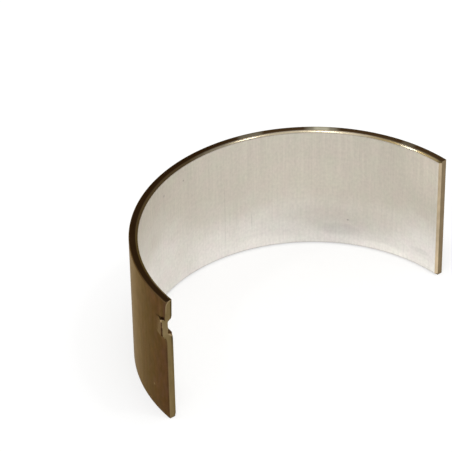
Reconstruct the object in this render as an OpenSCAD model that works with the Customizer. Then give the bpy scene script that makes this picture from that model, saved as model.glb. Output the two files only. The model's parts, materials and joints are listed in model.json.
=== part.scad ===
// Half of a plain journal bearing: a thin half-round steel strip with a bored lining,
// two joint faces that butt against the other half, and one pressed locating lug.
// It stands on one rim: +Z is the shaft's axis, +Y the crown, and the joint faces lie to +X and -X.
// The origin is on the axis of the back at mid width.

/* [Shell] */
// Bore of the housing that grips the shell
housing_bore = 60.3; // [45:0.1:80]
// How much wider than its housing the loose shell springs open
free_spread = 1; // [0.3:0.1:2]
// Width of the shell along the shaft
shell_width = 24.3; // [18:0.1:40]
// Thickness of the wall at the crown
wall = 1.55; // [1.3:0.05:2.5]
// How much thinner the wall is at the joint faces than at the crown
wall_taper = 0.02; // [0.005:0.005:0.06]

/* [Edges] */
// Depth into the wall of the chamfer round the bore's two rims
rim_chamfer_depth = 0.45; // [0.2:0.05:0.7]
// Length along the shaft of the chamfer round the bore's two rims
rim_chamfer_length = 0.3; // [0.1:0.05:0.8]
// Edge break round the back's two rims
rim_edge_break = 0.15; // [0.05:0.05:0.4]
// Chamfer where the bore meets each joint face
joint_chamfer = 0.4; // [0.1:0.05:0.6]
// Edge break where the back meets each joint face
joint_edge_break = 0.12; // [0.04:0.02:0.3]

/* [Bore relief] */
// Depth of the bore's relief at each joint face
relief_depth = 0.03; // [0.01:0.005:0.06]
// How far the relief runs round the bore from each joint face
relief_length = 8; // [4:0.5:14]

/* [Locating lug] */
// Distance from the upper rim to the lug's sheared side
lug_inset = 3.6; // [2:0.1:8]
// Width of the lug's crest along the shaft
lug_crest = 2.9; // [2:0.1:5]
// Height of the lug above the back at the joint face
lug_height = 0.95; // [0.6:0.05:1.2]
// Length of the lug's ramp round the back
lug_length = 3.2; // [2:0.1:6]
// How far along the shaft the lug's blended side runs down to the back
lug_flank = 1.2; // [0.8:0.1:3]
// Thickness of metal left between the crest and the punch mark behind it
lug_metal = 1.3; // [1:0.05:1.5]
// How far the punch mark's floor starts from the sheared side
punch_step = 0.6; // [0.3:0.05:1]
// How far the punch mark's upper side leans over towards the rim
punch_draft = 1.1; // [0.4:0.05:1.5]

/* [Hidden] */
back_colour = [0.43, 0.36, 0.24];
lining_colour = [0.77, 0.75, 0.72];
$fn = 180;

// How far a cutting shape runs past what it cuts
past = 5;
half_width = shell_width / 2;

// The strip keeps its length as it springs open, so the wider arc covers a smaller angle.
back_r = (housing_bore + free_spread) / 2;
joint_angle = 90 * (1 - housing_bore / 2 / back_r);

// The bore is bigger than the wall alone gives and sits lower, which thins the wall at its ends.
bore_r = back_r - wall + wall_taper;

// Each relief is the bore shifted square to the line where the relief runs out.
relief_angle = relief_length / bore_r * 180 / PI;
relief_shift = relief_depth / sin(relief_angle);

// The lug, measured in its joint face
shear_z = half_width - lug_inset;
crest_r = back_r + lug_height;
crest_low_z = shear_z - lug_crest;
flank_slope = lug_flank / lug_height;
ramp_angle = lug_length / back_r * 180 / PI;

// The punch mark leaves the lug's metal evenly thick over the crest and down the flank.
floor_r = crest_r - lug_metal;
floor_top_z = shear_z - punch_step;
floor_low_z = crest_low_z - flank_slope * lug_metal + lug_metal * sqrt(1 + flank_slope * flank_slope);
punch_slope = punch_draft / (floor_r - bore_r);

// Places its children at the joint face on +X, with the face on y = 0 and the metal on +y.
module at_plain_joint() {
    rotate([0, 0, joint_angle]) children();
}

module at_lug_joint() {
    mirror([1, 0, 0]) at_plain_joint() children();
}

module at_joints() {
    at_plain_joint() children();
    at_lug_joint() children();
}

// Extrudes an outline drawn in the joint face, radius across and height up, round the shell.
module along_strip(length) {
    translate([0, length, 0])
        rotate([90, 0, 0])
            linear_extrude(length + past) children();
}

// Extrudes an outline drawn square to the shaft over the whole width.
module across_width() {
    translate([0, 0, -half_width - past])
        linear_extrude(shell_width + 2 * past) children();
}

// The bent strip, with broken edges round its back, before boring
module half_ring() {
    blank_r = bore_r - past;
    rotate_extrude(angle = 180)
        polygon([
            [blank_r, -half_width],
            [back_r - rim_edge_break, -half_width],
            [back_r, -half_width + rim_edge_break],
            [back_r, half_width - rim_edge_break],
            [back_r - rim_edge_break, half_width],
            [blank_r, half_width]
        ]);
}

// Takes the sharp edge off the back along a joint face.
module back_edge_cut() {
    across_width()
        polygon([
            [back_r - joint_edge_break - past, -past],
            [back_r + past, -past],
            [back_r + past, joint_edge_break + past]
        ]);
}

// Trims the strip to its joint face.
module joint_cut() {
    across_width()
        translate([0, -past])
            square([crest_r + past, past]);
}

// The lug: sheared square on the rim's side, blended down to the back on the other.
module lug() {
    root_r = back_r - wall / 2;
    intersection() {
        along_strip(lug_length + past)
            polygon([
                [root_r, shear_z],
                [crest_r, shear_z],
                [crest_r, crest_low_z],
                [root_r, crest_low_z - flank_slope * (crest_r - root_r)]
            ]);
        across_width()
            polygon([
                [root_r, -past],
                [crest_r, -past],
                [crest_r, 0],
                back_r * [cos(ramp_angle), sin(ramp_angle)],
                root_r * [cos(ramp_angle), sin(ramp_angle)]
            ]);
    }
}

// The mark that the punch leaves in the bore where it pressed the lug out.
module punch_mark() {
    open_r = bore_r - past;
    depth = floor_r - bore_r;
    ramp_end = bore_r * [cos(ramp_angle), sin(ramp_angle)];
    ramp_run = [floor_r, 0] - ramp_end;
    intersection() {
        along_strip(lug_length + past)
            polygon([
                [floor_r, floor_top_z],
                [floor_r, floor_low_z],
                [open_r, floor_low_z - flank_slope * (depth + past)],
                [open_r, floor_top_z + punch_slope * (depth + past)]
            ]);
        across_width()
            polygon([
                [floor_r, -past],
                [floor_r, 0],
                ramp_end - ramp_run,
                [open_r, -past]
            ]);
    }
}

// The finished bore with the chamfers round its rims
module bore() {
    flare = past / rim_chamfer_length * rim_chamfer_depth;
    mouth_r = bore_r + rim_chamfer_depth + flare;
    mouth_z = half_width + past;
    straight_z = half_width - rim_chamfer_length;
    translate([0, -wall_taper, 0])
        rotate_extrude()
            polygon([
                [0, -mouth_z],
                [mouth_r, -mouth_z],
                [bore_r, -straight_z],
                [bore_r, straight_z],
                [mouth_r, mouth_z],
                [0, mouth_z]
            ]);
}

// Eases the bore away from the shaft beside a joint face.
module relief() {
    translate(relief_shift * [sin(relief_angle), -cos(relief_angle), 0])
        cylinder(h = shell_width + 2 * past, r = bore_r, center = true);
}

// Chamfers the bore's edge along a joint face.
module joint_chamfer_cut() {
    across_width()
        polygon([
            [bore_r - past, -past],
            [bore_r + joint_chamfer + past, -past],
            [bore_r - past, joint_chamfer + past]
        ]);
}

module bearing_shell() {
    color(lining_colour)
        difference() {
            color(back_colour)
                difference() {
                    union() {
                        difference() {
                            half_ring();
                            at_joints() back_edge_cut();
                        }
                        at_lug_joint() lug();
                    }
                    at_joints() joint_cut();
                }
            color(lining_colour) {
                bore();
                translate([0, -wall_taper, 0]) at_joints() relief();
                at_joints() joint_chamfer_cut();
                at_lug_joint() punch_mark();
            }
        }
}

bearing_shell();
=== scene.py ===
"""Dresses the half bearing shell: one fine mesh with its metal finishes, on a pale studio stage."""

import json
import math
import bmesh
import bpy
from bpy.props import FloatProperty, FloatVectorProperty, PointerProperty
from mathutils import Matrix, Vector, noise


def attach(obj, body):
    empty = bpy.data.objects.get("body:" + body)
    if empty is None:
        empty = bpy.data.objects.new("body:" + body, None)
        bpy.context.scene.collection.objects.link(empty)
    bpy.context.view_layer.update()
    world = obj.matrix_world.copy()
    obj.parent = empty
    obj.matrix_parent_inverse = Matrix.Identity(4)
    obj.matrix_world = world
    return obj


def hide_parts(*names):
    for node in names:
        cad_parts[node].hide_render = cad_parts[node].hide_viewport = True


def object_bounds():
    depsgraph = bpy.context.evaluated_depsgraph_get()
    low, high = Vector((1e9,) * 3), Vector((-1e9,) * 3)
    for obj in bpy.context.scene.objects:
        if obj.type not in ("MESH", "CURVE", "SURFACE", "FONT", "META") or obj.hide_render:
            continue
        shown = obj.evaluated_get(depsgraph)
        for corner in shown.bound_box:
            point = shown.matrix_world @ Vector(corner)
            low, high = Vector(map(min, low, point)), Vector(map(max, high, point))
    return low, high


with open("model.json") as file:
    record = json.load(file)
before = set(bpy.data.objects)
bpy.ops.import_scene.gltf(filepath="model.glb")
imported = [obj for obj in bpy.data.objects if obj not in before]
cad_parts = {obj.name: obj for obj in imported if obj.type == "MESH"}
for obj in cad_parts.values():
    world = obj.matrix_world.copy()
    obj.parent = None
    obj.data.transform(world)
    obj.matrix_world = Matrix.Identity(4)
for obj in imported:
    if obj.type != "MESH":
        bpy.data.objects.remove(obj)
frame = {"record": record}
CAD_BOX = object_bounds()

bl_info = {
    "name": "Half Bearing Shell",
    "version": (1, 0, 0),
    "blender": (4, 5, 0),
    "location": "View3D > Sidebar > Bearing",
    "description": "Builds a half bearing shell with its metal finishes, and a pale studio stage",
    "category": "Object",
}

MM = 0.001
MOUNTS = {mount["name"]: mount for mount in frame["record"]["mounts"]}
BACK_RADIUS = MOUNTS["housing_seat"]["pos_m"][1]
BORE_RADIUS = MOUNTS["journal_bore"]["dims"]["r_mm"] * MM
PLAIN_JOINT = Vector(MOUNTS["plain_joint_face"]["axis"])
JOINT_ANGLE = math.atan2(PLAIN_JOINT.x, -PLAIN_JOINT.y)

# Finishes of the shell, in the order of its material slots
FINISHES = ("lining", "bevel", "rim", "back", "joint", "joint_bevel", "edge")


def length(name, description, default):
    """A length in metres."""
    return FloatProperty(
        name=name, description=description, default=default, min=0.0, unit="LENGTH", precision=5
    )


def angle(name, description, default):
    """An angle in radians."""
    return FloatProperty(name=name, description=description, default=default, subtype="ANGLE")


def colour(name, description, *display):
    """A colour given by its display values from 0 to 255, kept in linear light."""
    shares = [value / 255 for value in display]
    linear = [((share + 0.055) / 1.055) ** 2.4 for share in shares]
    return FloatVectorProperty(
        name=name, description=description, default=linear, min=0.0, max=1.0, subtype="COLOR"
    )


class ShellSizes(bpy.types.PropertyGroup):
    """Sizes of the half shell"""

    back_radius: length("Back radius", "Radius of the loose shell's back", BACK_RADIUS)
    bore_radius: length("Bore radius", "Radius of the loose shell's bore", BORE_RADIUS)
    half_width: length("Half width", "Half the shell's width along the shaft", CAD_BOX[1].z)
    joint_angle: angle("Joint angle", "How far each joint face stops short of a half turn", JOINT_ANGLE)
    chamfer_depth: length("Chamfer depth", "Depth of the bore's rim chamfer into the wall", 0.45 * MM)
    chamfer_length: length("Chamfer length", "Length of the bore's rim chamfer", 0.30 * MM)
    edge_break: length("Edge break", "Edge break round the back's rims", 0.12 * MM)
    joint_chamfer: length("Joint chamfer", "Chamfer where the bore meets a joint face", 0.40 * MM)
    joint_break: length("Joint break", "Edge break where the back meets a joint face", 0.12 * MM)
    edge_round: length("Edge round", "How far each edge of the section is eased", 0.05 * MM)
    lug_inset: length("Lug inset", "Distance from the upper rim to the lug's sheared side", 3.63 * MM)
    lug_slant: length("Lug slant", "How far the sheared side drops from the rim over its length", 0.5 * MM)
    lug_lean: length("Lug lean", "How far the sheared side leans over towards the rim", 0.58 * MM)
    lug_crest: length("Lug crest", "Width of the lug's crest along the shaft", 2.75 * MM)
    lug_flank: length("Lug flank", "Run of the lug's blended side", 1.1 * MM)
    lug_height: length("Lug height", "Height of the lug above the back at the joint face", 0.65 * MM)
    lug_length: length("Lug length", "Length of the lug's ramp at its sheared side", 2.7 * MM)
    lug_spread: length("Lug spread", "How much longer the ramp is at its blended side", 1.1 * MM)
    lug_shear: length("Lug shear", "Run over which the sheared side rises to the crest", 0.05 * MM)
    lug_bulge: length("Lug bulge", "How far the back swells beside the lug", 0.3 * MM)
    bulge_length: length("Bulge length", "How far the swelling runs round the back", 2.2 * MM)
    bulge_drop: length("Bulge drop", "How far the swelling runs below the lug's crest", 2.5 * MM)
    lug_tear: length("Lug tear", "Depth of the torn edge along the lug's end", 0.2 * MM)
    tear_reach: length("Tear reach", "Mean length of the tear round the back", 0.20 * MM)
    tear_vary: length("Tear vary", "How much the tear's length varies", 0.40 * MM)
    tear_least: length("Tear least", "Shortest length of the tear", 0.06 * MM)
    tear_wave: length("Tear wave", "Spacing of the tear's coarse teeth", 0.70 * MM)
    tear_ripple: length("Tear ripple", "Spacing of the tear's fine teeth", 0.33 * MM)
    # Painted shade and soiling along the lug's sheared side reach this far
    crack_width: length("Crack width", "Reach of the dirt along the sheared side", 0.22 * MM)
    # The bare spot on the lug is partly bare metal and partly a painted glint
    worn_inset: length("Worn inset", "From the joint face to the bare spot on the lug", 0.15 * MM)
    worn_length: length("Worn length", "Reach of the bare spot round the back", 0.21 * MM)
    worn_drop: length("Worn drop", "From the sheared side to the bare spot", 0.22 * MM)
    worn_width: length("Worn width", "Reach of the bare spot along the shaft", 0.26 * MM)
    punch_depth: length("Punch depth", "Depth of the punch mark in the bore at the joint face", 1.1 * MM)
    punch_step: length("Punch step", "From the sheared side to the punch mark's floor", 0.6 * MM)
    punch_draft: length("Punch draft", "Lean of the punch mark's upper side", 0.9 * MM)
    punch_floor: length("Punch floor", "Width of the punch mark's floor", 2.3 * MM)
    punch_flank: length("Punch flank", "Run of the punch mark's lower side", 1.15 * MM)
    punch_length: length("Punch length", "Length of the punch mark round the bore", 1.8 * MM)
    punch_lip: length("Punch lip", "Depth of the worn lip below the punch mark", 0.2 * MM)
    corner_depth: length("Corner depth", "Depth of the knocked corner into the wall", 0.85 * MM)
    corner_height: length("Corner height", "Height of the knocked corner down the joint face", 1.3 * MM)
    corner_reach: length("Corner reach", "Length of the knocked corner round the back", 0.65 * MM)
    bare_depth: length("Bare depth", "Depth of damage that leaves bare metal", 0.15 * MM)
    fine_length: length("Fine length", "Stretch beside the lug's joint face with a fine mesh", 0.6 * MM)
    lug_row: length("Lug row", "Spacing of the mesh rows at the lug", 0.10 * MM)
    corner_row: length("Corner row", "Spacing of the mesh rows at the knocked corner", 0.12 * MM)
    plain_row: length("Plain row", "Spacing of the mesh rows elsewhere", 1.0 * MM)
    sharp_angle: angle("Sharp angle", "Edges that turn by more than this stay sharp", math.radians(32.0))


class ShellColours(bpy.types.PropertyGroup):
    """Colours of the shell's finishes"""

    lining: colour("Lining", "Plated lining, upper part", 203, 197, 184)
    # Painted reflection: the lining near the lower rim is painted paler, where it mirrors the bright floor
    lining_low: colour("Lining low", "Plated lining, near the lower rim", 234, 231, 225)
    bevel: colour("Bevel", "Chamfers round the bore's rims", 138, 120, 82)
    # Painted reflection: the stretch of the chamfers that mirrors the bright overhead light is painted
    # brighter
    bevel_bright: colour("Bevel bright", "Bright stretch of the chamfers", 127, 117, 97)
    # Painted shade: the chamfers on the lug's half are painted dark, for the darker room they mirror
    bevel_shaded: colour("Bevel dark", "Tarnished stretch of the chamfers", 74, 60, 37)
    rim: colour("Rim", "Flat rims", 67, 52, 38)
    # Painted shade: the lug's half of the rims is painted darker, for the darker room it mirrors
    rim_shaded: colour("Rim dark", "Tarnished stretch of the rims", 44, 32, 22)
    # Painted highlights: patches of the upper rim painted pale where it mirrors the lamps
    rim_light: colour("Rim light", "Bare patches of the upper rim", 184, 180, 158)
    back: colour("Back", "Back of the strip near the lug", 64, 42, 27)
    back_olive: colour("Back olive", "Back of the strip away from the lug", 82, 60, 35)
    back_red: colour("Back red", "Reddish patches of the back", 70, 42, 31)
    joint: colour("Joint", "Joint face at the lug", 121, 104, 71)
    # Painted reflection: the plain joint face is painted lighter than the one at the lug
    joint_far: colour("Joint far", "Plain joint face", 134, 118, 94)
    # Painted shade along the inner edge of the joint face at the lug
    joint_line: colour("Joint line", "Inner edge of the joint face at the lug", 66, 56, 30)
    # Painted shade: the chamfer along the joint face at the lug is painted dark, the plain one's light, as
    # shaded and lit copies of one metal
    joint_bevel: colour("Joint bevel", "Chamfer along the joint face at the lug", 78, 68, 40)
    joint_bevel_far: colour("Joint bevel far", "Chamfer along the plain joint face", 184, 166, 138)
    edge: colour("Edge", "Edges near the lug", 92, 72, 47)
    # Painted shade: edges away from the lug are painted darker than those near it
    edge_far: colour("Edge far", "Edges away from the lug", 72, 56, 36)
    # Bare metal, also used as a painted glint on the lug's corner
    worn: colour("Worn", "Bare metal on the lug's corner", 186, 164, 132)
    # Painted shade as well as soiling: the dark colour in the lug's tear and in the gap under its sheared
    # side
    grime: colour("Grime", "Dirt in the torn metal of the lug", 42, 32, 12)


class StageSettings(bpy.types.PropertyGroup):
    """Camera, floor and light"""

    floor: colour("Floor", "Pale floor", 250, 250, 249)
    floor_white: FloatProperty(
        name="Floor white", description="Share of plain white that the floor shows", default=0.6
    )
    fill: FloatProperty(name="Fill", description="Strength of the room's fill light", default=0.935)
    softbox_glow: FloatProperty(
        name="Softbox glow", description="Brightness of the wide overhead softbox", default=1.53
    )
    bar_glow: FloatProperty(
        name="Bar glow", description="Brightness of the narrow bar lamps", default=26.0
    )
    azimuth: angle("Azimuth", "Camera's turn about the upright axis", math.radians(-38.57))
    elevation: angle("Elevation", "Camera's height above the horizon", math.radians(36.32))
    roll: angle("Roll", "Camera's roll", math.radians(-1.17))
    distance: length("Distance", "From the camera to the point it looks at", 444.8 * MM)
    lens: FloatProperty(
        name="Lens", description="Focal length on a 36 mm sensor", default=206.55, unit="CAMERA"
    )
    aim: FloatVectorProperty(
        name="Aim",
        description="Point that the camera looks at",
        default=(-2.46 * MM, 20.23 * MM, 2.94 * MM),
        subtype="TRANSLATION",
        precision=5,
    )


class Wire:
    """An output socket of a shader node, on which arithmetic adds Math nodes."""

    def __init__(self, shader, socket):
        self.shader = shader
        self.socket = socket

    def math(self, operation, *values):
        """A Math node over some values, in their order."""
        return self.shader.node("ShaderNodeMath", {"operation": operation}, dict(enumerate(values)))

    def __add__(self, other):
        return self.math("ADD", self, other)

    def __radd__(self, other):
        return self.math("ADD", other, self)

    def __sub__(self, other):
        return self.math("SUBTRACT", self, other)

    def __rsub__(self, other):
        return self.math("SUBTRACT", other, self)

    def __mul__(self, other):
        return self.math("MULTIPLY", self, other)

    def __rmul__(self, other):
        return self.math("MULTIPLY", other, self)

    def __truediv__(self, other):
        return self.math("DIVIDE", self, other)

    def output(self, name):
        """Another output of the same node."""
        return Wire(self.shader, self.socket.node.outputs[name])


class Shader:
    """A node tree under construction."""

    def __init__(self, tree):
        self.tree = tree
        tree.nodes.clear()

    def node(self, kind, settings, sockets):
        """Add a node, set its settings, fill its sockets and return its first output in use."""
        made = self.tree.nodes.new(kind)
        for name, value in settings.items():
            setattr(made, name, value)
        for name, value in sockets.items():
            if isinstance(value, Wire):
                self.tree.links.new(value.socket, made.inputs[name])
            else:
                made.inputs[name].default_value = value
        used = [socket for socket in made.outputs if socket.enabled]
        return Wire(self, used[0]) if used else None

    def mix(self, share, first, second, blend="MIX"):
        """A colour between two colours; a wire of plain numbers counts as grey."""
        settings = {"data_type": "RGBA", "blend_type": blend}
        return self.node("ShaderNodeMix", settings, {0: share, 6: first, 7: second})

    def step(self, value, start, end):
        """An eased step from 0 at the start to 1 at the end."""
        sockets = {"Value": value, "From Min": start, "From Max": end}
        return self.node("ShaderNodeMapRange", {"interpolation_type": "SMOOTHSTEP"}, sockets)

    def noise(self, x, y, layer, detail=2.0):
        """Noise about 0.5 at a place in one of its layers, each of which has its own pattern."""
        place = self.node("ShaderNodeCombineXYZ", {}, {"X": x, "Y": y, "Z": layer})
        return self.node("ShaderNodeTexNoise", {}, {"Vector": place, "Scale": 1.0, "Detail": detail})

    def attribute(self, name):
        """A number kept on the mesh."""
        return self.node("ShaderNodeAttribute", {"attribute_name": name}, {}).output("Fac")

    def bump(self, height, depth):
        """A normal bent by a height from 0 to 1 over a depth in metres."""
        return self.node("ShaderNodeBump", {}, {"Height": height, "Distance": depth, "Strength": 1.0})


class StripPlace:
    """A place on the bent strip in millimetres: round the back, along the shaft and out from it."""

    def __init__(self, shader):
        place = shader.node("ShaderNodeTexCoord", {}, {}).output("Object")
        axes = shader.node("ShaderNodeSeparateXYZ", {}, {"Vector": place})
        across = axes / MM
        crown = axes.output("Y") / MM
        self.across = across
        self.around = across.math("ARCTAN2", crown, across) * (BACK_RADIUS / MM)
        self.along = axes.output("Z") / MM
        squares = across * across + crown * crown
        self.out = squares.math("SQRT", squares)


def opaque(linear):
    """A colour with full alpha."""
    return (*linear, 1.0)


def metal(name, build):
    """A material whose principled shader is filled by build(shader)."""
    material = bpy.data.materials.new(name)
    material.use_nodes = True
    shader = Shader(material.node_tree)
    surface = shader.node("ShaderNodeBsdfPrincipled", {}, build(shader))
    shader.node("ShaderNodeOutputMaterial", {}, {"Surface": surface})
    return material


def mark(shader, strip, turn, height, reach_around, reach_along):
    """A soft spot on the strip at a turn in degrees and a height, both over their reach."""
    centre = math.radians(turn) * BACK_RADIUS / MM
    around = (strip.around - centre) / reach_around
    along = (strip.along - height) / reach_along
    return shader.step(around * around + along * along, 1.0, 0.2)


# Factors between which the lining's hue drifts
LINING_HUES = ((1.0, 0.93, 0.97), (0.955, 1.0, 0.955))

# Marks on the lining: turn, height, reach round and along, and how dark. Marks above zero are smudges,
# specks and scratches; marks below zero are painted light, paler patches where the lining is more brightly
# lit
LINING_MARKS = (
    (3.0, 11.0, 4.5, 5.0, -0.06),
    (4.0, 10.0, 9.0, 9.0, -0.10),
    (99.6, 9.0, 0.25, 0.22, 0.35),
    (110.6, 9.0, 0.3, 0.3, 0.22),
    (37.2, -6.5, 0.22, 0.16, 0.45),
    (40.0, -8.7, 4.5, 1.6, 0.11),
    (45.0, -8.2, 16.0, 5.6, 0.07),
    (41.0, -8.0, 8.0, 2.8, 0.04),
    (9.0, -8.7, 2.8, 0.7, 0.08),
    (81.7, -3.0, 0.10, 8.0, 0.14),
    (71.4, -5.7, 0.12, 2.2, 0.16),
    (25.0, -11.4, 6.5, 1.6, -0.13),
    (66.0, -11.0, 8.0, 2.0, -0.06),
    (55.0, 2.0, 11.0, 6.0, -0.035),
    (8.0, -11.2, 7.0, 1.6, -0.07),
)


def lining_finish(colours, sizes):
    """Satin plating with hairlines along the shaft, painted paler towards the lower rim as a painted
    reflection of the bright floor.
    """
    edge = (sizes.half_width - sizes.chamfer_length) / MM

    def build(shader):
        strip = StripPlace(shader)
        hairs = shader.noise(strip.around * 3.0, strip.along * 0.12, 1.0, 3.0)
        combed = shader.noise(strip.around * 2.2, strip.along * 0.05, 11.0, 4.0)
        bands = shader.noise(strip.around * 0.3, strip.along * 0.03, 4.0)
        grain = shader.noise(strip.around * 2.0, strip.along * 1.6, 16.0, 3.0)
        hue = shader.noise(strip.around * 0.36, strip.along * 0.3, 21.0, 2.0)
        clouds = shader.noise(strip.around * 0.16, strip.along * 0.22, 8.0, 3.0)
        # Painted reflection of the bright floor: the masks below shape where the lining turns paler
        # towards the lower rim
        corner = shader.step(strip.around, 14.0, 2.0) * shader.step(strip.along, 0.0, -8.0)
        lug_side = shader.step(strip.around, 48.0, 60.0) * shader.step(strip.along, -9.0, -1.0)
        plain_side = shader.step(strip.around, 5.0, 12.0) * shader.step(strip.around, 34.0, 24.0)
        plain_side = plain_side * shader.step(strip.along, -11.0, -7.0)
        lug_top = shader.step(strip.around, 56.0, 66.0) * shader.step(strip.along, 1.0, 5.0)
        foot = shader.step(strip.around, 46.0, 58.0) * shader.step(strip.along, -6.0, -11.0)
        level = strip.along + (clouds - 0.5) * 7.0 - corner * 4.0 - lug_side * 4.0 + plain_side * 2.5
        level = level + foot * 3.0 - lug_top * 3.0
        pale = shader.step(level, 3.0, -13.0)
        base = shader.mix(pale, opaque(colours.lining), opaque(colours.lining_low))
        tone = 1.0 + (hairs - 0.5) * 0.18 + (bands - 0.5) * 0.08 + (grain - 0.5) * 0.26
        tone = tone + (combed - 0.5) * shader.step(strip.along, -3.0, 11.0) * 0.22
        # Painted shade: darker lines along both edges of the lining beside the chamfers; at the lower rim
        # they stand in for the contact shadow
        edge_shade = shader.step(strip.along.math("ABSOLUTE", strip.along), edge - 0.22, edge - 0.04)
        tone = tone * (1.0 - edge_shade * (0.12 + clouds * 0.28))
        for turn, height, reach_around, reach_along, depth in LINING_MARKS:
            tone = tone * (1.0 - mark(shader, strip, turn, height, reach_around, reach_along) * depth)
        base = shader.mix(1.0, base, tone, "MULTIPLY")
        tint = shader.mix(hue, *[opaque(factors) for factors in LINING_HUES])
        base = shader.mix(1.0, base, tint, "MULTIPLY")
        return {
            "Base Color": base,
            "Metallic": 0.7,
            "Roughness": 0.40 + hairs * 0.14,
            "Normal": shader.bump(hairs, 0.003 * MM),
        }

    return metal("lining", build)


# Factors between which the back's tone and hue drift
BACK_TONES = ((0.7, 0.6, 0.45), (1.3, 1.4, 1.55))
BACK_HUES = ((1.04, 1.02, 0.7), (0.96, 0.98, 1.3))

# Reddish spots on the back: turn, height and reach round and along
BACK_MARKS = (
    (172.0, 10.0, 2.4, 1.8),
    (176.6, 1.5, 1.3, 4.5),
    (170.0, -9.5, 1.6, 2.2),
)


def back_finish(colours):
    """Tarnished strip: brown with reddish patches, streaks along the shaft, soiling and painted shade in
    the torn lug, and a bare corner on the lug that is partly a painted glint.
    """

    def build(shader):
        strip = StripPlace(shader)
        patches = shader.noise(strip.around * 0.28, strip.along * 0.10, 3.0, 4.0)
        streaks = shader.noise(strip.around * 1.6, strip.along * 0.08, 5.0, 3.0)
        grain = shader.noise(strip.around * 6.0, strip.along * 3.0, 9.0, 2.0)
        mottle = shader.noise(strip.around * 1.2, strip.along * 0.5, 12.0, 6.0)
        cast = shader.noise(strip.around * 0.9, strip.along * 0.4, 30.0, 5.0)
        red = shader.step(patches + shader.step(strip.around, 84.0, 97.0) * 0.3, 0.55, 0.85)
        for turn, height, reach_around, reach_along in BACK_MARKS:
            red = red + mark(shader, strip, turn, height, reach_around, reach_along) * 0.35
        red = red + (mottle - 0.5) * shader.step(strip.around, 80.0, 88.0) * 1.6
        red = red.math("MINIMUM", red, 1.0)
        red = red.math("MAXIMUM", red, 0.0)
        red = red * (1.0 - mark(shader, strip, 174.4, 6.3, 2.6, 3.0) * 0.8)
        olive = shader.step(strip.around + (patches - 0.5) * 5.0, 88.0, 83.0)
        base = shader.mix(olive, opaque(colours.back), opaque(colours.back_olive))
        base = shader.mix(red, base, opaque(colours.back_red))
        lug_side = shader.step(strip.around, 74.0, 86.0)
        rough = 0.45 + shader.step(strip.around, 60.0, 72.0) * 0.55
        tone = 1.0 + ((streaks - 0.5) * 0.5 + (grain - 0.5) * 0.5) * rough + (patches - 0.5) * 0.3
        base = shader.mix(1.0, base, tone, "MULTIPLY")
        near = 0.4 * rough + lug_side * 0.9
        share = 0.5 + (mottle - 0.5) * near * 2.0
        blotch = shader.mix(share, *[opaque(factors) for factors in BACK_TONES])
        base = shader.mix(1.0, base, blotch, "MULTIPLY")
        share = 0.5 + (cast - 0.5) * near * 2.0
        tint = shader.mix(share, *[opaque(factors) for factors in BACK_HUES])
        base = shader.mix(1.0, base, tint, "MULTIPLY")
        speck = mark(shader, strip, 170.3, -7.6, 0.25, 0.3) * 0.25
        # Soiling and painted shade in the lug's tear and in the gap under its sheared side
        dirt = shader.attribute("dirt")
        base = shader.mix(dirt, base, opaque(colours.grime))
        # Bare metal on the lug's corner, painted bright as a glint too; the speck is a light speck on the
        # back
        base = shader.mix(shader.attribute("worn") + speck, base, opaque(colours.worn))
        base = shader.mix(shader.attribute("bare"), base, opaque(colours.edge))
        return {
            "Base Color": base,
            "Metallic": 0.9,
            "Specular Tint": opaque((0.95, 0.76, 0.48)),
            "Roughness": 0.36 + streaks * 0.12 + dirt * 0.3,
            "Normal": shader.bump((streaks * 0.6 + grain * 0.4) * rough, 0.006 * MM),
        }

    return metal("back", build)


# Painted highlights on the upper rim, where it mirrors the lamps: turn, reach round and how strong
RIM_MARKS = (
    (16.3, 1.6, 0.14),
    (46.6, 3.5, 0.42),
    (46.8, 1.7, 0.85),
    (71.0, 2.8, 0.24),
)


def rim_finish(colours, sizes):
    """Dark tarnished rim with turned rings, painted darker on the lug's half and with painted highlights
    where it mirrors the lamps.
    """
    top = sizes.half_width / MM
    back = sizes.back_radius / MM

    def build(shader):
        strip = StripPlace(shader)
        rings = shader.noise(strip.around * 0.25, strip.out * 9.0, 2.0, 2.0)
        clouds = shader.noise(strip.around * 0.5, strip.out * 0.6, 6.0, 3.0)
        tone = 0.5 + rings * 0.6 + clouds * 0.4
        # Painted shade: the rim is painted darker on the lug's half
        dark = shader.step(strip.around + (clouds - 0.5) * 8.0, 34.0, 50.0)
        base = shader.mix(dark, opaque(colours.rim), opaque(colours.rim_shaded))
        inward = 0.55 + shader.step(strip.out, back - 0.15, back - 0.6) * 0.45
        # Painted highlights where the upper rim mirrors the lamps, strongest towards the bore
        for turn, reach_around, share in RIM_MARKS:
            pale = mark(shader, strip, turn, top, reach_around, top) * share * inward
            base = shader.mix(pale, base, opaque(colours.rim_light))
        base = shader.mix(shader.attribute("bare"), base, opaque(colours.edge))
        base = shader.mix(1.0, base, tone, "MULTIPLY")
        return {
            "Base Color": base,
            "Metallic": 1.0,
            "Specular Tint": opaque((0.5, 0.42, 0.3)),
            "Roughness": 0.30 + clouds * 0.15,
            "Normal": shader.bump(rings, 0.004 * MM),
        }

    return metal("rim", build)


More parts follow.
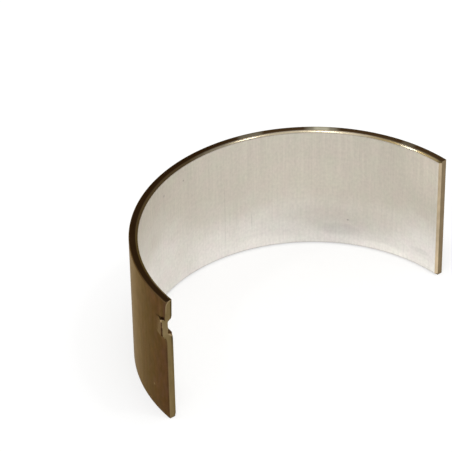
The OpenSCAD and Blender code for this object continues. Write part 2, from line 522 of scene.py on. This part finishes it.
def bevel_finish(colours, sizes):
    """Cut chamfer with painted reflections: painted bright on one half of the ring and painted dark on the
    lug's half, with painted highlights and painted shade along its upper edge.
    """
    top = sizes.half_width / MM

    def build(shader):
        strip = StripPlace(shader)
        rings = shader.noise(strip.around * 0.5, strip.along * 12.0, 2.0, 2.0)
        clouds = shader.noise(strip.around * 0.7, strip.along * 0.5, 6.0, 3.0)
        # Painted reflection: the lug's half of the ring is painted dark, a stretch of the far half painted
        # bright, with a painted highlight about 15.5 degrees
        dark = shader.step(strip.around + (clouds - 0.5) * 6.0, 42.5, 52.5)
        bright = shader.step(strip.around, 13.0, 18.0) + mark(shader, strip, 15.5, 12.0, 2.6, 4.0)
        # Near the plain joint face the chamfer is rougher, and painted darker as painted shade that keeps
        # a highlight off it
        ends = shader.step(strip.around, 2.4, 1.2)
        base = shader.mix(bright, opaque(colours.bevel), opaque(colours.bevel_bright))
        base = shader.mix(dark, base, opaque(colours.bevel_shaded))
        # Painted glint on the chamfer near the lug
        lug_glint = mark(shader, strip, 170.0, 12.0, 3.0, 4.0) * 0.8
        base = shader.mix(lug_glint, base, opaque(colours.bevel_bright))
        # Painted shade: the chamfer is painted darker towards its upper edge, as a rounded edge would be
        # shaded
        upper = shader.step(strip.along.math("ABSOLUTE", strip.along), top - 0.16, top)
        base = shader.mix(upper * 0.8, base, opaque(colours.rim))
        base = shader.mix(1.0, base, (0.7 + rings * 0.6) * (1.0 - ends * 0.5), "MULTIPLY")
        return {
            "Base Color": base,
            "Metallic": 1.0,
            "Specular Tint": opaque((0.75, 0.66, 0.5)),
            "Roughness": 0.17 + clouds * 0.06 + ends * 0.35,
            "Coat Weight": (1.0 - dark) * (1.0 - ends) * 0.6,
            "Coat Roughness": 0.1,
            "Normal": shader.bump(clouds, 0.002 * MM),
        }

    return metal("bevel", build)


def cut_metal(shader, strip, tint, far_tint):
    """Colour, roughness and bump of cut metal, from the lug's side to the far one; the two tints are lit
    and shaded copies of one metal, painted light and shade between the two ends.
    """
    lines = shader.noise(strip.out * 7.0, strip.along * 0.25, strip.across, 3.0)
    clouds = shader.noise(strip.out * 0.8, strip.along * 0.5, strip.across + 5.0, 3.0)
    # Painted light and shade: the lug's side and the far side take lit and shaded copies of one metal
    base = shader.mix(shader.step(strip.across, -1.0, 1.0), opaque(tint), opaque(far_tint))
    base = shader.mix(1.0, base, 0.55 + lines * 0.4 + clouds * 0.5, "MULTIPLY")
    return {
        "Base Color": base,
        "Metallic": 0.95,
        "Specular Tint": opaque((0.5, 0.42, 0.28)),
        "Roughness": 0.34 + lines * 0.14,
        "Normal": shader.bump(lines, 0.003 * MM),
    }


def edge_finish(name, tint, far_tint, foot=0.0, near_foot=0.0):
    """Small chamfers and broken edges, brighter by a share towards the lower rim and below the lug."""

    def build(shader):
        strip = StripPlace(shader)
        sockets = cut_metal(shader, strip, tint, far_tint)
        below_lug = shader.step(strip.across, 1.0, -1.0) * shader.step(strip.along, 4.0, 1.0)
        lift = 1.0 + shader.step(strip.along, -1.0, -9.0) * foot + below_lug * near_foot
        sockets["Base Color"] = shader.mix(1.0, sockets["Base Color"], lift, "MULTIPLY")
        return sockets

    return metal(name, build)


def joint_finish(colours, sizes):
    """Joint faces; at the lug with painted shade along the inner edge, and worn at the corner, the foot
    and the lip.
    """
    inner = (sizes.bore_radius + sizes.joint_chamfer) / MM
    back = sizes.back_radius / MM
    top = sizes.half_width / MM
    bore = sizes.bore_radius / MM
    flank_slope = sizes.punch_depth / sizes.punch_flank
    shear = top - sizes.lug_inset / MM
    flank_low = shear - (sizes.punch_step + sizes.punch_floor + sizes.punch_flank) / MM

    def build(shader):
        strip = StripPlace(shader)
        sockets = cut_metal(shader, strip, colours.joint, colours.joint_far)
        near = shader.step(strip.across, 1.0, -1.0)
        # Painted shade along the inner edge of the joint face at the lug
        line = shader.step(strip.out, inner + 0.34, inner + 0.14) * near
        line = line * (0.2 + shader.step(strip.along, 2.0, 5.0) * 0.8)
        base = shader.mix(line * 0.85, sockets["Base Color"], opaque(colours.joint_line))
        across = 1.0 - (back - strip.out) / (sizes.corner_depth / MM)
        down = 1.0 - (top - strip.along) / (sizes.corner_height / MM)
        down = down.math("MAXIMUM", down, 0.0)
        reach = across * across + down * down
        corner = shader.step(reach, 0.6, 0.9) * shader.step(strip.along, top - 2.6, top - 1.2)
        low = shader.step(strip.out, back - 0.22, back - 0.08) * shader.step(strip.along, 2.0, -4.0)
        past_edge = strip.out - bore - (strip.along - flank_low) * flank_slope
        lip = shader.step(past_edge, 0.34, 0.12)
        lip = lip * shader.step(strip.along, flank_low - 0.2, flank_low + 0.1)
        lip = lip * shader.step(strip.along, flank_low + 1.3, flank_low + 0.9)
        lug_end = shader.step(strip.along, flank_low, flank_low + 1.5)
        lug_end = lug_end * shader.step(strip.along, shear + 0.28, shear - 0.92)
        worn = (corner * 0.5 + low * 0.35 + lip * 0.6 + lug_end * 0.12) * near
        sockets["Base Color"] = shader.mix(worn, base, opaque(colours.worn))
        return sockets

    return metal("joint", build)


def shell_finishes(colours, sizes):
    """The materials of the shell, in the order of FINISHES."""
    made = {
        "lining": lining_finish(colours, sizes),
        "bevel": bevel_finish(colours, sizes),
        "rim": rim_finish(colours, sizes),
        "back": back_finish(colours),
        "joint": joint_finish(colours, sizes),
        "joint_bevel": edge_finish(
            "joint_bevel", colours.joint_bevel, colours.joint_bevel_far, foot=0.3, near_foot=1.3
        ),
        "edge": edge_finish("edge", colours.edge, colours.edge_far),
    }
    return [made[name] for name in FINISHES]


def clamp(value):
    """A value held between 0 and 1."""
    return max(0.0, min(1.0, value))


def smooth(value):
    """An eased step from 0 to 1."""
    value = clamp(value)
    return value * value * (3.0 - 2.0 * value)


def lug_zone(sizes):
    """Top and bottom of the rows that the lug and its punch mark need."""
    shear = sizes.half_width - sizes.lug_inset
    lug_reach = sizes.lug_slant + sizes.lug_crest + sizes.lug_flank
    punch_reach = sizes.punch_step + sizes.punch_floor + sizes.punch_flank
    return shear + sizes.punch_draft, shear - max(lug_reach, punch_reach) - sizes.lug_row


def row_spacing(sizes, radius, height):
    """Spacing of the mesh rows at a place on the section."""
    top, low = lug_zone(sizes)
    if low < height < top:
        return sizes.lug_row
    on_back = radius > (sizes.bore_radius + sizes.back_radius) / 2
    at_corner = height > sizes.half_width - sizes.corner_height
    return sizes.corner_row if on_back and at_corner else sizes.plain_row


def strip_section(bm, sizes):
    """Draw the strip's section in the lug's joint face, with eased edges and close rows at the lug."""
    bore, back, half = sizes.bore_radius, sizes.back_radius, sizes.half_width
    top, low = lug_zone(sizes)
    edges = [
        (back, half - sizes.edge_break),
        (back - sizes.edge_break, half),
        (bore + sizes.chamfer_depth, half),
        (bore, half - sizes.chamfer_length),
        (bore, sizes.chamfer_length - half),
        (bore + sizes.chamfer_depth, -half),
        (back - sizes.edge_break, -half),
        (back, sizes.edge_break - half),
    ]
    row_ends = [(back, low), (back, top), (back, half - sizes.corner_height)]
    outline = edges[:4] + [(bore, top), (bore, low)] + edges[4:] + row_ends
    verts = [bm.verts.new((-radius, 0.0, height)) for radius, height in outline]
    bm.faces.new(verts)
    bmesh.ops.bevel(
        bm,
        geom=[vert for vert, place in zip(verts, outline) if place in edges],
        offset=sizes.edge_round,
        segments=3,
        profile=0.5,
        affect="VERTICES",
        material=-1,
    )
    for edge in list(bm.edges):
        middle = (edge.verts[0].co + edge.verts[1].co) / 2
        cuts = round(edge.calc_length() / row_spacing(sizes, -middle.x, middle.z)) - 1
        if cuts > 0:
            bmesh.ops.subdivide_edges(bm, edges=[edge], cuts=cuts)
    turn = Matrix.Rotation(-sizes.joint_angle, 3, "Z")
    bmesh.ops.rotate(bm, cent=(0.0, 0.0, 0.0), matrix=turn, verts=bm.verts)


def bend_strip(bm, sizes):
    """Sweep the section round the shaft, in stretches that are finer near the joint faces."""
    arc = (math.pi - 2.0 * sizes.joint_angle) * sizes.back_radius
    near = [(sizes.joint_chamfer, 8), (sizes.fine_length, 9), (sizes.lug_length, 26)]
    last = (sizes.joint_chamfer, 4)
    plain = arc - last[0] - sum(stretch for stretch, steps in near)
    section = bm.faces[:] + bm.edges[:] + bm.verts[:]
    for stretch, steps in [*near, (plain, 180), last]:
        swept = bmesh.ops.spin(
            bm,
            geom=section,
            cent=(0.0, 0.0, 0.0),
            axis=(0.0, 0.0, 1.0),
            angle=-stretch / sizes.back_radius,
            steps=steps,
        )
        section = swept["geom_last"]
    bmesh.ops.recalc_face_normals(bm, faces=bm.faces)


def joint_distance(sizes, place):
    """Distance round the back from the lug's joint face, and from the plain one."""
    turn = math.atan2(place.y, place.x)
    from_lug = (math.pi - sizes.joint_angle - turn) * sizes.back_radius
    from_plain = (turn - sizes.joint_angle) * sizes.back_radius
    return from_lug, from_plain


def finish_of(face, sizes):
    """Which finish a face of the plain swept strip has."""
    centre = face.calc_center_median()
    radius = math.hypot(centre.x, centre.y)
    height = abs(centre.z)
    from_lug, from_plain = joint_distance(sizes, centre)
    near = min(from_lug, from_plain)
    slack = 0.01 * MM
    pressed = 0.1
    wall_middle = (sizes.bore_radius + sizes.back_radius) / 2
    lug = lug_press(sizes, from_lug, centre.z)
    if len(face.verts) > 4:
        return "joint"
    if height > sizes.half_width - slack:
        return "rim"
    if radius > wall_middle:
        on_back = radius > sizes.back_radius - slack
        return "back" if on_back and (near > sizes.joint_break or lug["rise"] > pressed) else "edge"
    if lug["scar"]:
        return "back" if from_lug > sizes.punch_lip else "joint"
    if height > sizes.half_width - sizes.chamfer_length:
        return "bevel"
    return "joint_bevel" if near < sizes.joint_chamfer and lug["sink"] < pressed else "lining"


def tear_teeth(sizes, height):
    """Ragged rise and fall of the lug's tear at a height, about 0."""
    coarse = noise.noise(Vector((height / sizes.tear_wave, 3.0, 0.0)))
    return coarse + 0.5 * noise.noise(Vector((height / sizes.tear_ripple, 7.0, 0.0)))


def lug_swell(sizes, from_lug, below):
    """Share of the back's swelling beside the lug, at a distance below its sheared side."""
    swell = smooth(1.0 - from_lug / sizes.bulge_length)
    if below < 0.0:
        return swell * (0.2 + 0.8 * smooth(1.0 + below / sizes.lug_inset))
    return swell * smooth(1.0 - (below - sizes.lug_crest) / sizes.bulge_drop)


def lug_press(sizes, from_lug, height):
    """What the punch did at a place: shares of rise, sink, lean and so on, and whether it left a scar."""
    below = sizes.half_width - sizes.lug_inset - height
    below -= sizes.lug_slant * clamp(from_lug / sizes.lug_length)
    ramp_length = sizes.lug_length + sizes.lug_spread * clamp(below / sizes.lug_crest)
    ramp = clamp(1.0 - from_lug / ramp_length)
    ramp *= smooth(ramp / 0.7)
    crest = clamp(below / sizes.lug_shear) * smooth(1.0 - (below - sizes.lug_crest) / sizes.lug_flank)
    upper = smooth(1.0 + (below - sizes.punch_step) / sizes.punch_draft)
    past_floor = below - sizes.punch_step - sizes.punch_floor
    lower = clamp(1.0 - past_floor / sizes.punch_flank)
    punch_reach = sizes.punch_length * (1.0 - 0.70 * smooth(past_floor / (0.35 * sizes.punch_flank)))
    punch = clamp(1.0 - from_lug / punch_reach)
    teeth = tear_teeth(sizes, height)
    # A bare spot on the lug's corner, partly bare metal and partly a painted glint
    worn = smooth(1.4 - abs(from_lug - sizes.worn_inset) / sizes.worn_length)
    worn *= smooth(1.4 - abs(below - sizes.worn_drop) / sizes.worn_width)
    # The tear along the lug's end is cut into the shape; its dark colour is soiling and painted shade
    tear_length = max(sizes.tear_least, sizes.tear_reach + sizes.tear_vary * teeth)
    tear = smooth(1.2 - from_lug / tear_length) * crest * (1.0 - worn)
    # Painted shade with soiling in the gap under the lug's sheared side
    crack = 1.0 - smooth(abs(below) / sizes.crack_width)
    crack *= smooth((1.2 - from_lug / sizes.lug_length) / 0.3)
    fade = 1.0 - 0.5 * smooth(below / sizes.lug_crest)
    return {
        "rise": ramp * crest,
        "sink": punch * upper * lower,
        "lean": ramp * crest * clamp(1.0 - below / sizes.lug_crest),
        "swell": lug_swell(sizes, from_lug, below),
        "tear": tear * (0.8 + 0.9 * teeth),
        "dirt": max(tear * (0.65 + 0.5 * teeth) * fade, crack * 0.75) * (1.0 - worn),
        "scar": past_floor > 0.0 and punch * lower > 0.0,
        "worn": worn,
    }


def knock_corner(sizes, radius, height, from_lug):
    """Round off the back's upper corner at the lug's joint face."""
    share = from_lug / sizes.corner_reach
    across = (sizes.back_radius - radius) / sizes.corner_depth + share
    down = (sizes.half_width - height) / sizes.corner_height + share
    reach = math.hypot(1.0 - across, 1.0 - down)
    if share > 1.0 or across > 1.0 or down > 1.0 or reach < 1.0:
        return radius, height
    across = 1.0 - (1.0 - across) / reach - share
    down = 1.0 - (1.0 - down) / reach - share
    return sizes.back_radius - across * sizes.corner_depth, sizes.half_width - down * sizes.corner_height


def press_shape(bm, sizes):
    """Press the lug out, cut the chamfers along the joint faces and knock the corner off."""
    wall = sizes.back_radius - sizes.bore_radius
    # The first layer holds soiling and painted shade for the lug's tear and the gap under its sheared side
    dirt_and_shade_layer = bm.verts.layers.float.new("dirt")
    worn_layer = bm.verts.layers.float.new("worn")
    bare_layer = bm.verts.layers.float.new("bare")
    for vert in bm.verts:
        radius = math.hypot(vert.co.x, vert.co.y)
        from_lug, from_plain = joint_distance(sizes, vert.co)
        near = min(from_lug, from_plain)
        depth = clamp((sizes.back_radius - radius) / wall)
        lug = lug_press(sizes, from_lug, vert.co.z)
        lift = sizes.lug_height * lug["rise"] - sizes.lug_tear * lug["tear"]
        lift = lift * (1.0 - depth) + sizes.punch_depth * lug["sink"] * depth
        plain_edge = clamp(1.0 - 8.0 * lug["rise"] * (1.0 - depth))
        plain_mouth = clamp(1.0 - 3.0 * lug["sink"])
        broken = sizes.joint_break * plain_edge - near
        cut = sizes.joint_chamfer * plain_mouth - near
        shaped = min(radius, sizes.back_radius - broken)
        shaped = max(shaped, sizes.bore_radius + cut) if cut > 0.0 else shaped
        shaped += lift + sizes.lug_bulge * lug["swell"] * (1.0 - 0.6 * depth)
        whole = shaped
        shaped, height = knock_corner(sizes, whole, vert.co.z, from_lug)
        vert[bare_layer] = clamp(math.hypot(whole - shaped, vert.co.z - height) / sizes.bare_depth)
        height += sizes.lug_lean * lug["lean"] * (1.0 - depth)
        vert[dirt_and_shade_layer] = lug["dirt"] * (1.0 - depth)
        # The worn layer carries the lug's bare corner, partly a painted glint
        vert[worn_layer] = lug["worn"] * (1.0 - depth)
        vert.co = (vert.co.x * shaped / radius, vert.co.y * shaped / radius, height)


def mark_edges(bm, sharp_angle):
    """Smooth the faces, and keep the edges that turn by more than an angle sharp."""
    for face in bm.faces:
        face.smooth = True
    for edge in bm.edges:
        edge.smooth = edge.calc_face_angle() < sharp_angle


class BEARING_OT_build_shell(bpy.types.Operator):
    """Sweep, chamfer and press the half shell, and give it its finishes"""

    bl_idname = "bearing.build_shell"
    bl_label = "Build Bearing Shell"

    def execute(self, context):
        sizes = context.scene.bearing_sizes
        bm = bmesh.new()
        strip_section(bm, sizes)
        bend_strip(bm, sizes)
        for face in bm.faces:
            face.material_index = FINISHES.index(finish_of(face, sizes))
        press_shape(bm, sizes)
        mark_edges(bm, sizes.sharp_angle)
        mesh = bpy.data.meshes.new("half_shell")
        bm.to_mesh(mesh)
        bm.free()
        for material in shell_finishes(context.scene.bearing_colours, sizes):
            mesh.materials.append(material)
        shell = bpy.data.objects.new("half_shell", mesh)
        context.scene.collection.objects.link(shell)
        flats = shell.modifiers.new("flat faces", "WEIGHTED_NORMAL")
        flats.keep_sharp = True
        flats.weight = 80
        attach(shell, "root")
        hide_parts("bearing_shell")
        return {"FINISHED"}


def seen_rays(shader):
    """1 for the rays that show a background: to the camera, in metal and through glass."""
    path = shader.node("ShaderNodeLightPath", {}, {})
    seen = path.output("Is Camera Ray") + path.output("Is Glossy Ray")
    seen = seen + path.output("Is Transmission Ray")
    return seen.math("MINIMUM", seen, 1.0)


def floor_material(settings):
    """Pale paper that is nearly white to the camera and keeps the shell's shadow."""
    material = bpy.data.materials.new("floor")
    material.use_nodes = True
    shader = Shader(material.node_tree)
    paper = shader.node("ShaderNodeBsdfDiffuse", {}, {"Color": opaque(settings.floor)})
    white = shader.node("ShaderNodeEmission", {}, {"Color": opaque((1.0, 1.0, 1.0)), "Strength": 1.0})
    share = seen_rays(shader) * settings.floor_white
    surface = shader.node("ShaderNodeMixShader", {}, {0: share, 1: paper, 2: white})
    shader.node("ShaderNodeOutputMaterial", {}, {"Surface": surface})
    return material


def make_floor(context, settings):
    """A wide pale floor under the shell's lower rim."""
    bm = bmesh.new()
    bmesh.ops.create_grid(bm, x_segments=1, y_segments=1, size=2.0)
    bmesh.ops.translate(bm, vec=(0.0, 0.0, CAD_BOX[0].z), verts=bm.verts)
    mesh = bpy.data.meshes.new("floor")
    bm.to_mesh(mesh)
    bm.free()
    mesh.materials.append(floor_material(settings))
    floor = bpy.data.objects.new("floor", mesh)
    context.scene.collection.objects.link(floor)


def make_world(context, settings):
    """A room that is white to the camera and in the metal, and dimmer as light."""
    world = bpy.data.worlds.new("studio")
    context.scene.world = world
    world.use_nodes = True
    shader = Shader(world.node_tree)
    strength = settings.fill + (1.0 - settings.fill) * seen_rays(shader)
    sky = shader.node("ShaderNodeBackground", {}, {"Color": opaque((1.0, 1.0, 1.0)), "Strength": strength})
    shader.node("ShaderNodeOutputWorld", {}, {"Surface": sky})


def direction(azimuth, elevation):
    """Unit vector towards an azimuth, measured from -Y towards +X, and an elevation."""
    flat = math.cos(elevation)
    return Vector((math.sin(azimuth) * flat, -math.cos(azimuth) * flat, math.sin(elevation)))


def mirrored(sizes, view, turn):
    """Direction that the upper chamfer, at a turn in degrees, mirrors towards the viewer."""
    place = math.radians(turn)
    inward = Vector((-math.cos(place), -math.sin(place), 0.0))
    normal = inward * sizes.chamfer_length + Vector((0.0, 0.0, sizes.chamfer_depth))
    return -view.reflect(normal.normalized())


def make_lamp(context, name, turn, spread, width, glow):
    """A softbox a metre away that shows in the upper chamfer about a turn, over a spread in degrees."""
    sizes = context.scene.bearing_sizes
    settings = context.scene.bearing_stage
    view = direction(settings.azimuth, settings.elevation)
    towards = mirrored(sizes, view, turn)
    sweep = mirrored(sizes, view, turn + spread) - mirrored(sizes, view, turn - spread)
    side = (sweep - towards * sweep.dot(towards)).normalized()
    light = bpy.data.lights.new(name, "AREA")
    light.shape = "RECTANGLE"
    light.size = sweep.length
    light.size_y = width
    light.energy = glow * math.pi * light.size * light.size_y
    lamp = bpy.data.objects.new(name, light)
    turned = Matrix((side, towards.cross(side), towards)).transposed()
    lamp.matrix_world = Matrix.Translation(towards) @ turned.to_4x4()
    context.scene.collection.objects.link(lamp)


def make_camera(context, settings):
    """The camera at the photograph's viewing angle."""
    back = direction(settings.azimuth, settings.elevation)
    level = back.to_track_quat("Z", "Y").to_matrix()
    turned = level @ Matrix.Rotation(settings.roll, 3, "Z")
    data = bpy.data.cameras.new("camera")
    data.lens = settings.lens
    data.sensor_width = 36.0
    camera = bpy.data.objects.new("camera", data)
    place = Vector(settings.aim) + back * settings.distance
    camera.matrix_world = Matrix.Translation(place) @ turned.to_4x4()
    context.scene.collection.objects.link(camera)
    context.scene.camera = camera


# Lamps: turn and spread in degrees on the chamfer that mirrors them, width in metres, share of glow
SOFTBOXES = {
    "softbox": (44.5, 11.5, 0.60, 1.0),
    "side_softbox": (61.5, 5.5, 0.50, 0.75),
}
BARS = {
    "overhead_bar": (47.3, 4.3, 0.07, 0.72),
    "far_bar": (17.6, 1.5, 0.08, 1.4),
    "crown_bar": (73.0, 2.5, 0.08, 1.0),
}


class BEARING_OT_set_stage(bpy.types.Operator):
    """Set the floor, the lights and the camera"""

    bl_idname = "bearing.set_stage"
    bl_label = "Set Stage"

    def execute(self, context):
        settings = context.scene.bearing_stage
        make_floor(context, settings)
        make_world(context, settings)
        for name, (turn, spread, width, share) in SOFTBOXES.items():
            make_lamp(context, name, turn, spread, width, settings.softbox_glow * share)
        for name, (turn, spread, width, share) in BARS.items():
            make_lamp(context, name, turn, spread, width, settings.bar_glow * share)
        make_camera(context, settings)
        context.scene.view_settings.view_transform = "Standard"
        return {"FINISHED"}


class BEARING_PT_panel(bpy.types.Panel):
    """Sizes, colours and operators of the bearing shell"""

    bl_idname = "BEARING_PT_panel"
    bl_label = "Bearing Shell"
    bl_space_type = "VIEW_3D"
    bl_region_type = "UI"
    bl_category = "Bearing"

    def draw(self, context):
        layout = self.layout
        scene = context.scene
        for group in (scene.bearing_sizes, scene.bearing_colours, scene.bearing_stage):
            column = layout.column()
            for name in group.__annotations__:
                column.prop(group, name)
        layout.operator(BEARING_OT_build_shell.bl_idname)
        layout.operator(BEARING_OT_set_stage.bl_idname)


CLASSES = (
    ShellSizes,
    ShellColours,
    StageSettings,
    BEARING_OT_build_shell,
    BEARING_OT_set_stage,
    BEARING_PT_panel,
)


def register():
    for item in CLASSES:
        bpy.utils.register_class(item)
    bpy.types.Scene.bearing_sizes = PointerProperty(type=ShellSizes)
    bpy.types.Scene.bearing_colours = PointerProperty(type=ShellColours)
    bpy.types.Scene.bearing_stage = PointerProperty(type=StageSettings)


def unregister():
    del bpy.types.Scene.bearing_stage
    del bpy.types.Scene.bearing_colours
    del bpy.types.Scene.bearing_sizes
    for item in reversed(CLASSES):
        bpy.utils.unregister_class(item)


def main():
    register()
    bpy.ops.bearing.build_shell()
    bpy.ops.bearing.set_stage()


if __name__ == "__main__":
    main()
